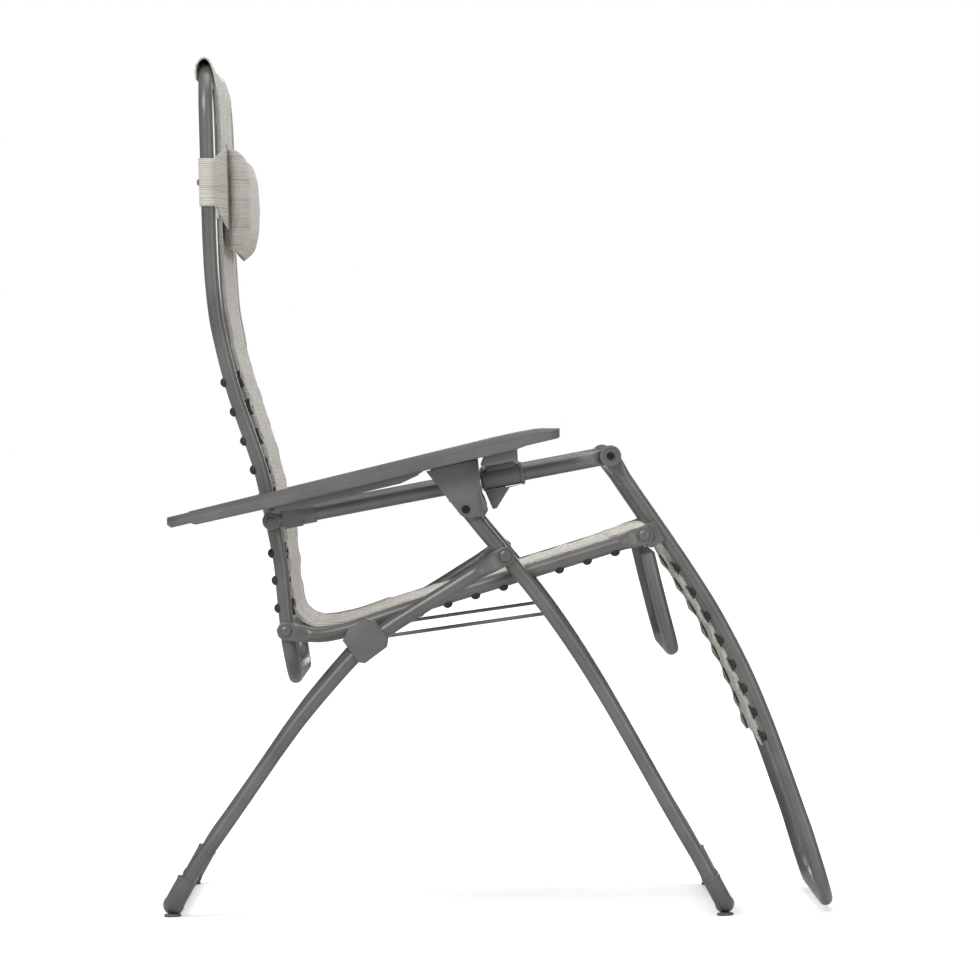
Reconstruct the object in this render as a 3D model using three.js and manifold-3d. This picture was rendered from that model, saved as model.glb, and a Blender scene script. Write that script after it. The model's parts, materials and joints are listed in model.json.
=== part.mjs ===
// Zero gravity recliner: two crossed floor frames carry a seat, a backrest and a footrest that
// fold as one four-bar linkage, with armrests that slide along the arm links and lock there.
// Millimetres. +Z is up, +X points to the footrest, +Y to the sitter's left. The origin is on the
// floor, in the middle of the chair's overall length and width.
import * as THREE from 'three';
import { mergeVertices } from 'three/addons/utils/BufferGeometryUtils.js';
import Module from 'manifold-3d';

const wasm = await Module();
wasm.setup();

// Pivots, as [x, z] in the side view.
const BACK_PIVOT = [-281.9, 378.1];
const ARM_REAR_PIVOT = [-300.2, 525];
const ARM_FRONT_PIVOT = [150.2, 611.3];
const FOOT_PIVOT = [194.9, 505.8];
const LEG_PIVOT = [10.2, 479.1];
const ARMREST_PIVOT = [-42.1, 540.7];
const ROD_FRONT = [70.4, 403.1];
const ROD_REAR = [-146, 372];
const SEAT_PIVOT = [-172.9, 389];

// Layers: how far each tube's centre stands from the middle plane, so that they pass each other.
const BACK_Y = 262;
const SEAT_Y = 283;
const FRONT_LEG_Y = 305;
const REAR_LEG_Y = 327;
const SLING_HALF_WIDTH = 238;
const ARMREST_Y = [296, 352];

// Tube radii and the fits between pieces.
const BACK_R = 9.5;
const SEAT_R = 10;
const LEG_R = 10;
const ARM_R = 10.5;
const ROD_R = 2.5;
const PIN_R = 4;
const GAP = 0.3;
const SIDES = 10;

// Side-view centrelines of the bent tubes.
const BACK_LINE = [
  [-270, 315.5], [-275, 345], [-281.9, 378.1], [-285, 435], [-292, 485], [-300.2, 525],
  [-319, 606], [-344.5, 675], [-366.5, 752.5], [-378.7, 819], [-384.5, 911], [-387.5, 1019],
  [-390.8, 1131],
];
const SEAT_LINE = [
  [-262, 371.5], [-244.2, 370.8], [-209.9, 376.1], [-172.9, 389], [-89.6, 417.1], [30.7, 454.1],
  [178, 499.9],
];
const FOOT_LINE = [
  [158, 599], [189, 553], [244.5, 473], [294.5, 393.5], [335, 313.5], [367.5, 233.5],
  [396.4, 153], [424.3, 73], [440.5, 17.5],
];
const FOOT_HOOP_LINE = [[198, 491], [214.5, 423.5], [233, 354]];
const REAR_LEG_LINE = [
  [-5, 471.5], [-89.6, 418.4], [-172.9, 364.2], [-210.7, 323.8], [-268.7, 254.5], [-320.5, 180.6],
  [-371.8, 106.7], [-405.2, 60.5], [-431, 14],
];
const FRONT_LEG_LINE = [
  [-42.1, 540.7], [10.2, 479.1], [48.8, 432.5], [91.5, 374.9], [146.1, 289.1], [196.4, 201.3],
  [246.3, 113.6], [274.2, 68.1], [303, 14],
];

// Side-view midlines of the three stretches of sling.
const SLING_THICKNESS = 4;
const BACK_SLING_LINE = [
  [-376.5, 1104], [-373, 1060], [-370.5, 909], [-364.5, 818], [-352.8, 757], [-328.8, 683.5],
  [-308.6, 620], [-283.5, 518], [-277.5, 470], [-275, 438],
];
const SEAT_SLING_LINE = [
  [-274.3, 432], [-270, 412], [-263, 397], [-251, 387.5], [-232, 384.5], [-192.7, 392.5],
  [-145, 409.5], [-86, 427.5], [30.7, 463], [120, 491], [191, 514],
];
const FOOT_SLING_LINE = [
  [221, 490], [234, 468], [259, 428.5], [283, 389], [304, 350], [322.5, 311], [339.5, 272],
  [358, 222],
];

// Hood over the top rail, pillow and its straps.
const HOOD_HALF_WIDTH = 212;
const HOOD_THICKNESS = 2.4;
const HOOD_LINE = [
  [-402, 1100], [-403.5, 1125], [-400.5, 1138], [-391, 1144], [-381, 1141], [-373, 1125],
  [-365, 1102], [-364, 1090], [-368, 1078],
];
const PILLOW_OUTLINE = [
  [-363, 886], [-355, 872], [-343, 887], [-335, 920], [-333.5, 952], [-337, 992], [-346, 1020],
  [-357, 1034], [-368, 1033],
];
const PILLOW_HALF_WIDTH = 212;
const STRAP_HEIGHT = [944, 1008];
const STRAP_THICKNESS = 1.6;

// Armrest in the side view: upper skin, deeper rib, and the block over the clamp sleeve.
const ARMREST_OUTLINE = [
  [-440, 529.5], [-438, 521], [-432, 516.5], [-405, 523], [-400, 520.5], [-308.5, 541],
  [-129, 584.6], [26.4, 620.7], [37.4, 625], [80, 635], [84.5, 638], [84.5, 646], [82, 648.5],
  [56, 648.5], [29, 643.5], [3, 637.9], [-280, 568.7],
];
const ARMREST_RIB = [[-300, 541], [-292, 535.5], [-108, 580], [-100, 593], [-290, 549]];
const ARMREST_RIB_Y = [304, 340];
const BRACKET_PLATE_OUTLINE = [
  [-95, 591.2], [-49, 533], [-38, 529], [-17, 532], [-12.5, 540], [-22, 564], [-26, 607],
];
const BRACKET_Y = [317, 321];
const BRACKET_TAB_Y = [289, 293.5];

const armAngle = Math.atan2(
  ARM_FRONT_PIVOT[1] - ARM_REAR_PIVOT[1],
  ARM_FRONT_PIVOT[0] - ARM_REAR_PIVOT[0],
);
const armLength = Math.hypot(
  ARM_FRONT_PIVOT[0] - ARM_REAR_PIVOT[0],
  ARM_FRONT_PIVOT[1] - ARM_REAR_PIVOT[1],
);

// A point in the arm link's own frame: distance along it from the rear pivot, and height above it.
function armPoint(along, up) {
  const cos = Math.cos(armAngle);
  const sin = Math.sin(armAngle);
  return [
    ARM_REAR_PIVOT[0] + along * cos - up * sin,
    ARM_REAR_PIVOT[1] + along * sin + up * cos,
  ];
}

// Turns a closed geometry into a manifold solid, with its faces turned outwards.
function solid(geometry) {
  const bare = new THREE.BufferGeometry();
  bare.setAttribute('position', geometry.getAttribute('position'));
  if (geometry.index) bare.setIndex(geometry.index);
  const merged = mergeVertices(bare, 1e-3);
  const vertices = merged.getAttribute('position').array;
  const index = merged.index.array;
  const corner = (i) => new THREE.Vector3().fromArray(vertices, 3 * i);
  const triangles = [];
  let volume = 0;
  for (let i = 0; i < index.length; i += 3) {
    const [a, b, c] = [index[i], index[i + 1], index[i + 2]];
    if (a === b || b === c || c === a) continue;
    triangles.push(a, b, c);
    volume += corner(a).dot(corner(b).cross(corner(c)));
  }
  if (volume < 0) triangles.reverse();
  const triVerts = new Uint32Array(triangles);
  const vertProperties = new Float32Array(vertices);
  return new wasm.Manifold(new wasm.Mesh({ numProp: 3, vertProperties, triVerts }));
}

// The mirror image of a solid on the chair's other side.
function mirrored(body) {
  return body.mirror([0, 1, 0]);
}

function joined(bodies) {
  return bodies.reduce((sum, body) => sum.add(body));
}

// An upright plate: an outline in the side view, between two distances from the middle plane.
function plate(outline, y0, y1, bevel = 0) {
  const shape = outline instanceof THREE.Shape
    ? outline
    : new THREE.Shape(outline.map(([x, z]) => new THREE.Vector2(x, z)));
  const geometry = new THREE.ExtrudeGeometry(shape, {
    depth: y1 - y0 - 2 * bevel,
    bevelEnabled: bevel > 0,
    bevelThickness: bevel,
    bevelSize: bevel,
    bevelOffset: -bevel,
    bevelSegments: 2,
    curveSegments: 8,
  });
  geometry.rotateX(Math.PI / 2);
  geometry.translate(0, y1 - bevel, 0);
  return solid(geometry);
}

// A bar with round ends in the side view, from one point to another.
function linkOutline(from, to, r) {
  const angle = Math.atan2(to[1] - from[1], to[0] - from[0]);
  const quarter = Math.PI / 2;
  return new THREE.Shape()
    .absarc(to[0], to[1], r, angle - quarter, angle + quarter, false)
    .absarc(from[0], from[1], r, angle + quarter, angle + 3 * quarter, false);
}

// A band of even thickness along a side-view line.
function bandOutline(line, thickness) {
  const half = thickness / 2;
  const edge = (sign) => line.map((point, i) => {
    const before = line[Math.max(i - 1, 0)];
    const after = line[Math.min(i + 1, line.length - 1)];
    const length = Math.hypot(after[0] - before[0], after[1] - before[1]);
    const normal = [-(after[1] - before[1]) / length, (after[0] - before[0]) / length];
    return [point[0] + sign * half * normal[0], point[1] + sign * half * normal[1]];
  });
  return [...edge(1), ...edge(-1).reverse()];
}

// A round pin along Y, given as [radius, y] steps.
function turned([x, z], steps, sides = SIDES) {
  const profile = [[0, steps[0][1]], ...steps, [0, steps.at(-1)[1]]];
  const geometry = new THREE.LatheGeometry(
    profile.map(([r, y]) => new THREE.Vector2(r, y)),
    sides,
  );
  geometry.translate(x, 0, z);
  return solid(geometry);
}

// The steps of a domed head that stands out from a face at y, towards larger or smaller y.
function dome(r, height, y, direction) {
  return [
    [r, y], [0.9 * r, y + 0.45 * direction * height], [0.5 * r, y + direction * height],
  ];
}

// A line whose rings sit exactly at the points given, for an even sweep round tight bends.
class RingPath extends THREE.Curve {
  constructor(points) {
    super();
    this.points = points;
  }

  getPoint(t) {
    const place = t * (this.points.length - 1);
    const index = Math.min(Math.floor(place), this.points.length - 2);
    return this.points[index].clone().lerp(this.points[index + 1], place - index);
  }

  getPointAt(u) {
    return this.getPoint(u);
  }

  getTangentAt(u) {
    const index = Math.round(u * (this.points.length - 1));
    const before = this.points[Math.max(index - 1, 0)];
    const after = this.points[Math.min(index + 1, this.points.length - 1)];
    return after.clone().sub(before).normalize();
  }
}

function sweep(points, r, sides = SIDES) {
  const ring = Array.from({ length: sides }, (_, i) => {
    const angle = 2 * Math.PI * (i + 0.5) / sides;
    return new THREE.Vector2(r * Math.cos(angle), r * Math.sin(angle));
  });
  const geometry = new THREE.ExtrudeGeometry(new THREE.Shape(ring), {
    extrudePath: new RingPath(points),
    steps: points.length - 1,
  });
  return solid(geometry);
}

// Points of a smooth side-view line in the plane y, about one every `spacing`.
function smoothLine(line, y, spacing = 48) {
  const curve = new THREE.CatmullRomCurve3(
    line.map(([x, z]) => new THREE.Vector3(x, y, z)),
    false,
    'centripetal',
  );
  return curve.getSpacedPoints(Math.max(2, Math.round(curve.getLength() / spacing)));
}

// Rounds the corner where a side tube, arriving at its last point, turns across the chair.
function turnInwards(side, radius, steps = 4) {
  const corner = side.at(-1);
  const travel = corner.clone().sub(side.at(-2)).normalize();
  const straight = side.filter((point) => point.distanceTo(corner) > radius + 8);
  const bend = Array.from({ length: steps + 1 }, (_, i) => {
    const angle = Math.PI / 2 * i / steps;
    return corner.clone()
      .addScaledVector(travel, -radius * (1 - Math.sin(angle)))
      .add(new THREE.Vector3(0, -Math.sign(corner.y) * radius * (1 - Math.cos(angle)), 0));
  });
  return [...straight, ...bend];
}

// The other half of a path, mirrored and walked backwards.
function otherHalf(points) {
  return points.map((point) => new THREE.Vector3(point.x, -point.y, point.z)).reverse();
}

// A U frame: down one side, across, and up the other.
function uFrame(line, y, r, radius) {
  const half = turnInwards(smoothLine(line, y), radius);
  return sweep([...half, ...otherHalf(half)], r);
}

// The backrest's closed frame, which meets itself in the middle of its lower rail.
function closedFrame(line, y, r, lowRadius, highRadius) {
  const side = smoothLine(line, y);
  const low = turnInwards([...side].reverse(), lowRadius).reverse();
  const half = turnInwards(low, highRadius);
  half.unshift(new THREE.Vector3(half[0].x, GAP / 2, half[0].z));
  return sweep([...half, ...otherHalf(half)], r);
}

// The point of a side-view line at a height or, for the seat, at an x.
function pointAt(line, value, axis) {
  const index = line.findIndex((point, i) => {
    const next = line[i + 1];
    return next && (point[axis] - value) * (next[axis] - value) <= 0;
  });
  const [from, to] = [line[index], line[index + 1]];
  const share = (value - from[axis]) / (to[axis] - from[axis]);
  const angle = Math.atan2(to[1] - from[1], to[0] - from[0]);
  return { x: from[0] + share * (to[0] - from[0]), z: from[1] + share * (to[1] - from[1]), angle };
}

const drill = (pivot, y0, y1, r = PIN_R + GAP) => turned(pivot, [[r, y0], [r, y1]], 10);

const finishes = {
  paint: { color: 0x6f7072, roughness: 0.45, metalness: 0.6 },
  plastic: { color: 0x63625f, roughness: 0.6, metalness: 0 },
  steel: { color: 0xa8a8a6, roughness: 0.35, metalness: 0.9 },
  rubber: { color: 0x242424, roughness: 0.8, metalness: 0 },
  fabric: { color: 0xcfc8ba, roughness: 0.9, metalness: 0 },
  dark: { color: 0x2c2c2c, roughness: 0.5, metalness: 0.4 },
};
const materials = Object.fromEntries(
  Object.entries(finishes).map(([name, values]) => [name, new THREE.MeshStandardMaterial(values)]),
);

const recliner = new THREE.Group();

function addNode(name, finish, body) {
  const mesh = body.getMesh();
  const geometry = new THREE.BufferGeometry();
  geometry.setAttribute('position', new THREE.BufferAttribute(mesh.vertProperties, 3));
  geometry.setIndex(new THREE.BufferAttribute(mesh.triVerts, 1));
  geometry.computeVertexNormals();
  const node = new THREE.Mesh(geometry, materials[finish]);
  node.name = name;
  recliner.add(node);
}

// The body is made for the sitter's left side, at positive y.
function addPair(name, finish, body) {
  addNode(`${name}_left`, finish, body);
  addNode(`${name}_right`, finish, mirrored(body));
}

// ---- Floor frames ----

const LEG_BEND = 34;

function frontLegFrame() {
  const top = turned(ARMREST_PIVOT, [
    [7, FRONT_LEG_Y - LEG_R], [LEG_R, FRONT_LEG_Y - 7], [LEG_R, FRONT_LEG_Y + 7],
    [7, FRONT_LEG_Y + LEG_R],
  ]);
  let frame = uFrame(FRONT_LEG_LINE, FRONT_LEG_Y, LEG_R, LEG_BEND);
  for (const cap of [top, mirrored(top)]) frame = frame.add(cap);
  const outer = FRONT_LEG_Y + LEG_R;
  const bores = [
    drill(LEG_PIVOT, FRONT_LEG_Y - LEG_R - 1, outer + 1),
    drill(ROD_FRONT, FRONT_LEG_Y - LEG_R - 1, outer + 1, ROD_R + GAP),
  ];
  for (const bore of bores) frame = frame.subtract(bore).subtract(mirrored(bore));
  return frame;
}

const SPOON_Y = [316, 320];

function rearLegFrame() {
  const frame = uFrame(REAR_LEG_LINE, REAR_LEG_Y, LEG_R, LEG_BEND);
  const spoon = plate(linkOutline(LEG_PIVOT, [-14, 466], 12.5), ...SPOON_Y);
  const bore = drill(LEG_PIVOT, SPOON_Y[0] - 1, SPOON_Y[1] + 1);
  return joined([frame, spoon, mirrored(spoon)]).subtract(bore).subtract(mirrored(bore));
}

// A plastic shoe over a lower corner, with a flat sole on the floor.
function shoe(line, y, wall) {
  const corner = turnInwards(smoothLine(line, y), LEG_BEND);
  const bend = corner.slice(-5);
  const start = bend[0].clone().lerp(bend[1], -0.6);
  const end = bend.at(-1).clone().add(new THREE.Vector3(0, -6, 0));
  const across = corner.at(-1).clone().setY(y - LEG_BEND - 60);
  const tube = sweep([...corner, across], LEG_R + 2 * GAP);
  const sleeve = sweep([start, ...bend, end], LEG_R + wall, 10);
  const [x] = line.at(-1);
  const sole = new THREE.ExtrudeGeometry(
    new THREE.Shape().absellipse(x, y - 17, 15, 24, 0, 2 * Math.PI),
    { depth: 8, bevelEnabled: false, curveSegments: 6 },
  );
  const floor = plate([[x - 60, -20], [x + 60, -20], [x + 60, 0], [x - 60, 0]], y - 90, y + 60);
  return joined([sleeve, solid(sole)]).subtract(floor).subtract(tube);
}

function stayRod() {
  const y = FRONT_LEG_Y - LEG_R - ROD_R - 3.5;
  const hook = FRONT_LEG_Y + 6;
  const front = new THREE.Vector3(ROD_FRONT[0], y, ROD_FRONT[1]);
  const rear = new THREE.Vector3(ROD_REAR[0], y, ROD_REAR[1]);
  const along = front.clone().sub(rear).normalize();
  const bent = (end, direction) => [
    end.clone().addScaledVector(along, -6 * direction),
    end.clone().addScaledVector(along, -1.8 * direction).setY(y + 1.8),
    end.clone().setY(y + 4.5),
    end.clone().setY(hook),
  ];
  return sweep([...bent(rear, -1).reverse(), ...bent(front, 1)], ROD_R, 8);
}

// The clip hangs on the seat tube's pin and grips the rear leg in a channel that opens downwards.
function legClip() {
  const centre = [-172.9, 364.2];
  const along = Math.atan2(0.6, 0.8);
  const at = (u, v) => [
    centre[0] + u * Math.cos(along) + v * Math.sin(along),
    centre[1] + u * Math.sin(along) - v * Math.cos(along),
  ];
  const outline = [
    at(-24, -22), at(-24, 14), at(-18, 20), at(18, 20), at(26, 12), at(26, -16), at(18, -27),
    at(-10, -29),
  ];
  const y0 = SEAT_Y + SEAT_R + 1.5;
  const clip = plate(outline, y0, REAR_LEG_Y + LEG_R + 4.5, 2);
  const reach = LEG_R + 0.6;
  const channel = new THREE.Shape([
    at(-40, 60), at(-40, 0), at(-40, -reach * 0.8), at(-40, -reach),
    at(40, -reach), at(40, 0), at(40, 60),
  ].map(([x, z]) => new THREE.Vector2(x, z)));
  const slot = plate(channel, REAR_LEG_Y - reach, REAR_LEG_Y + reach);
  const pin = turned(SEAT_PIVOT, [
    [PIN_R, SEAT_Y - SEAT_R - 3], [PIN_R, y0 + 2],
  ]);
  const rodBore = drill(ROD_REAR, y0 - 3, FRONT_LEG_Y + 7, ROD_R + GAP);
  return clip.subtract(slot).add(pin).subtract(rodBore);
}

addNode('front_leg_frame', 'paint', frontLegFrame());
addNode('rear_leg_frame', 'paint', rearLegFrame());
addPair('front_shoe', 'plastic', shoe(FRONT_LEG_LINE, FRONT_LEG_Y, 1.5));
addPair('rear_shoe', 'plastic', shoe(REAR_LEG_LINE, REAR_LEG_Y, 3));
addPair('stay_rod', 'steel', stayRod());
addPair('leg_clip', 'plastic', legClip());
addPair('leg_pivot_rivet', 'steel', turned(LEG_PIVOT, [
  [PIN_R, FRONT_LEG_Y - LEG_R + 1], [PIN_R, SPOON_Y[1] + GAP],
  ...dome(8.5, 4, SPOON_Y[1] + GAP, 1),
]));

// ---- Seat ----

const SEAT_LUG_Y = [273, 277];
const SEAT_DISC_Y = [277.5, 282];

function seatTube() {
  const tube = sweep(smoothLine(SEAT_LINE, SEAT_Y), SEAT_R);
  const lug = plate(linkOutline(BACK_PIVOT, [-252, 372], 13), ...SEAT_LUG_Y);
  const disc = plate(linkOutline(FOOT_PIVOT, [172, 498], 12), ...SEAT_DISC_Y);
  return joined([tube, lug, disc])
    .subtract(drill(BACK_PIVOT, SEAT_LUG_Y[0] - 1, SEAT_LUG_Y[1] + 1))
    .subtract(drill(FOOT_PIVOT, SEAT_DISC_Y[0] - 1, SEAT_DISC_Y[1] + 1))
    .subtract(drill(SEAT_PIVOT, SEAT_Y - SEAT_R - 1, SEAT_Y + SEAT_R + 1));
}

function sling(line) {
  const outline = bandOutline(line, SLING_THICKNESS);
  return plate(outline, -SLING_HALF_WIDTH, SLING_HALF_WIDTH);
}

addPair('seat_tube', 'paint', seatTube());
addNode('seat_sling', 'fabric', sling(SEAT_SLING_LINE));
addPair('back_pivot_rivet', 'steel', turned(BACK_PIVOT, [
  ...dome(8, 3, BACK_Y - BACK_R - GAP, -1).reverse(),
  [PIN_R, BACK_Y - BACK_R - GAP], [PIN_R, SEAT_LUG_Y[1] + GAP],
  ...dome(8.5, 4, SEAT_LUG_Y[1] + GAP, 1),
]));

// ---- Backrest ----

const BACK_LOW_BEND = 42;
const BACK_HIGH_BEND = 70;

function backFrame() {
  let frame = closedFrame(BACK_LINE, BACK_Y, BACK_R, BACK_LOW_BEND, BACK_HIGH_BEND);
  for (const pivot of [BACK_PIVOT, ARM_REAR_PIVOT]) {
    const bore = drill(pivot, BACK_Y - BACK_R - 1, BACK_Y + BACK_R + 1);
    frame = frame.subtract(bore).subtract(mirrored(bore));
  }
  return frame;
}

addNode('back_frame', 'paint', backFrame());
addNode('back_sling', 'fabric', sling(BACK_SLING_LINE));
addNode('top_hood', 'fabric',
  plate(bandOutline(HOOD_LINE, HOOD_THICKNESS), -HOOD_HALF_WIDTH, HOOD_HALF_WIDTH));
addPair('arm_rear_rivet', 'steel', turned(ARM_REAR_PIVOT, [
  ...dome(8, 3, BACK_Y - BACK_R - GAP, -1).reverse(),
  [PIN_R, BACK_Y - BACK_R - GAP], [PIN_R, SEAT_Y + ARM_R + GAP],
  [7, SEAT_Y + ARM_R + GAP], [6, SEAT_Y + ARM_R + 2],
]));

// ---- Headrest ----

function headrestStrap() {
  const [low, high] = STRAP_HEIGHT;
  const middle = pointAt(BACK_LINE, (low + high) / 2, 1);
  const inner = BACK_R + 0.8;
  const ring = new THREE.LatheGeometry([
    new THREE.Vector2(inner, low), new THREE.Vector2(inner + STRAP_THICKNESS, low),
    new THREE.Vector2(inner + STRAP_THICKNESS, high), new THREE.Vector2(inner, high),
    new THREE.Vector2(inner, low),
  ], 14);
  ring.translate(0, -(low + high) / 2, 0);
  ring.rotateX(Math.PI / 2);
  ring.rotateY(Math.PI / 2 - middle.angle);
  ring.translate(middle.x, BACK_Y, middle.z);
  const ear = new THREE.ExtrudeGeometry(new THREE.Shape([
    new THREE.Vector2(middle.x + inner + 0.3, BACK_Y + 1),
    new THREE.Vector2(middle.x + inner + 0.3 + STRAP_THICKNESS, BACK_Y + 1),
    new THREE.Vector2(-352, 214), new THREE.Vector2(-354.5, PILLOW_HALF_WIDTH + 0.6),
  ]), { depth: high - low, bevelEnabled: false });
  ear.translate(0, 0, low);
  const knob = turned([middle.x - inner - 1.5, middle.z], [[4, BACK_Y - 3], [4, BACK_Y + 3]], 8);
  const clear = sweep(
    [[0, low - 60], [0, high + 60]].map(([, z]) => {
      const slope = 1 / Math.tan(middle.angle);
      return new THREE.Vector3(middle.x + (z - middle.z) * slope, BACK_Y, z);
    }),
    inner,
    14,
  );
  return joined([solid(ring), solid(ear), knob]).subtract(clear);
}

addNode('headrest_pillow', 'fabric',
  plate(PILLOW_OUTLINE, -PILLOW_HALF_WIDTH, PILLOW_HALF_WIDTH, 5));
addPair('headrest_strap', 'fabric', headrestStrap());

// ---- Footrest ----

const FOOT_BEND = 52;
const FOOT_BRACKET_Y = [272, 276];
const FOOT_EYE_Y = [267, 271];

function footFrame() {
  const eye = plate(linkOutline(ARM_FRONT_PIVOT, [165, 588], 11), ...FOOT_EYE_Y);
  return joined([uFrame(FOOT_LINE, BACK_Y, BACK_R, FOOT_BEND), eye, mirrored(eye)]);
}

function footBracket() {
  const outline = [
    [188, 493], [206, 489], [223, 499], [210, 526], [202, 522], [190, 517], [183, 510], [182, 500],
  ];
  return plate(outline, ...FOOT_BRACKET_Y)
    .subtract(drill(FOOT_PIVOT, FOOT_BRACKET_Y[0] - 1, FOOT_BRACKET_Y[1] + 1));
}

addNode('foot_frame', 'paint', footFrame());
addNode('foot_hoop', 'paint', uFrame(FOOT_HOOP_LINE, BACK_Y, BACK_R, 36));
addPair('foot_bracket', 'paint', footBracket());
addNode('foot_sling', 'fabric', sling(FOOT_SLING_LINE));
addPair('foot_pivot_rivet', 'steel', turned(FOOT_PIVOT, [
  [PIN_R, FOOT_BRACKET_Y[0] - 0.7], [PIN_R, SEAT_DISC_Y[1] + GAP],
  ...dome(8, 4, SEAT_DISC_Y[1] + GAP, 1),
]));

// ---- Arm links ----

const ARM_EYE_R = 12;
const CAP_R = 14.3;

function armTube() {
  const ends = [armPoint(6, 0), armPoint(armLength - 16, 0)];
  const tube = sweep(ends.map(([x, z]) => new THREE.Vector3(x, SEAT_Y, z)), ARM_R);
  const eye = turned(ARM_REAR_PIVOT, [
    [ARM_EYE_R, BACK_Y + BACK_R + 1], [ARM_EYE_R, SEAT_Y + ARM_R],
  ]);
  const lug = plate(linkOutline(ARM_FRONT_PIVOT, armPoint(armLength - 10, 0), 10), 275, 279.5);
  return joined([tube, eye, lug])
    .subtract(drill(ARM_REAR_PIVOT, BACK_Y + BACK_R, SEAT_Y + ARM_R + 1))
    .subtract(drill(ARM_FRONT_PIVOT, 274, 281));
}

addPair('arm_tube', 'paint', armTube());
addPair('arm_front_cap', 'plastic', turned(ARM_FRONT_PIVOT, [
  [CAP_R - 1, 280], [CAP_R, 281], [CAP_R, 288.5], [CAP_R - 1.5, 290],
], 20).subtract(drill(ARM_FRONT_PIVOT, 279, 292)));
addPair('arm_front_bolt', 'dark', turned(ARM_FRONT_PIVOT, [
  [PIN_R, 272.3], [PIN_R, 290.3], [5, 290.3], [4.6, 292.5],
]));

// ---- Armrests and their sliding locks ----

const SLEEVE_R = 13.5;
const SLEEVE_SPAN = [284, 341];
const GRIP_SPAN = [280.5, 283];
const GUIDE_SPAN = [15.5, 40];
const BUSH_SPAN = [36, 59];
const BLOCK_UP = 17.5;

function armSleeve(span, r) {
  const ends = span.map((along) => armPoint(along, 0));
  return sweep(ends.map(([x, z]) => new THREE.Vector3(x, SEAT_Y, z)), r, 14);
}

function armBore(span) {
  const longer = [span[0] - 1, span[1] + 1];
  return armSleeve(longer, ARM_R + 2 * GAP);
}

function armrest() {
  const [y0, y1] = ARMREST_Y;
  const top = plate(ARMREST_OUTLINE, y0, y1, 3);
  const rib = plate(ARMREST_RIB, ...ARMREST_RIB_Y);
  const block = plate([
    armPoint(286, BLOCK_UP), armPoint(336, BLOCK_UP), [26, 626], [-16, 616],
  ], 274, 340);
  return joined([top, rib, block]);
}

function legBracket() {
  const outer = plate(BRACKET_PLATE_OUTLINE, ...BRACKET_Y);
  const pivotUp = -33.2;
  const pivotAlong = 256.4;
  const web = plate([
    armPoint(pivotAlong - 20, pivotUp + 13.5), armPoint(pivotAlong + 16, pivotUp + 13.5),
    armPoint(pivotAlong + 16, pivotUp + 18.5), armPoint(pivotAlong - 20, pivotUp + 18.5),
  ], BRACKET_TAB_Y[0], BRACKET_Y[1]);
  const tab = plate(
    linkOutline(ARMREST_PIVOT, armPoint(pivotAlong, pivotUp + 8), 10.5),
    ...BRACKET_TAB_Y,
  );
  const fold = plate([[-24, 566], [-16, 551], [-12.5, 541], [-19, 537]], BRACKET_Y[1], 325);
  return joined([outer, web, tab, fold]);
}

function rearGuide() {
  const [from, to] = GUIDE_SPAN;
  const yoke = plate([
    armPoint(from, -14), armPoint(to, -14), armPoint(to, 19), armPoint(from, 19),
  ], SEAT_Y - 14, ARMREST_Y[0] - GAP);
  return yoke.add(armSleeve(BUSH_SPAN, 12.6)).subtract(armBore([from, BUSH_SPAN[1]]));
}

function clampSleeve() {
  const neck = plate([
    armPoint(292, 4), armPoint(332, 4), armPoint(332, BLOCK_UP - GAP),
    armPoint(292, BLOCK_UP - GAP),
  ], SEAT_Y - 7, SEAT_Y + 9);
  return armSleeve(SLEEVE_SPAN, SLEEVE_R).add(neck).subtract(armBore(SLEEVE_SPAN));
}

function gripPlate() {
  return armSleeve(GRIP_SPAN, SLEEVE_R + 0.8).subtract(armBore(GRIP_SPAN));
}

function lockLever() {
  const up = -SLEEVE_R - 1;
  return plate([
    armPoint(286, up), [-6.3, 540.7], [-1, 542], [16.2, 569.8], armPoint(338, up),
  ], SEAT_Y - 8, SEAT_Y + 8);
}

addPair('armrest', 'plastic', armrest());
addPair('leg_bracket', 'plastic', legBracket());
addPair('rear_guide', 'plastic', rearGuide());
addPair('clamp_sleeve', 'plastic', clampSleeve());
addPair('grip_plate', 'steel', gripPlate());
addPair('lock_lever', 'plastic', lockLever());
addPair('bracket_screw', 'dark', turned(ARMREST_PIVOT, [
  [5.4, BRACKET_Y[1] + GAP], [4.8, BRACKET_Y[1] + 2.6],
]));

export default recliner;
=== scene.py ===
"""Zero gravity recliner: tubes, fittings, sling, hood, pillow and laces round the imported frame.

Metres, +Z up, +X to the footrest, +Y to the sitter's left. Places come from the frame's nodes.
"""
import json
import math

import bmesh
import bpy
import numpy as np
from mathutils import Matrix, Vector
from mathutils.bvhtree import BVHTree

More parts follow.
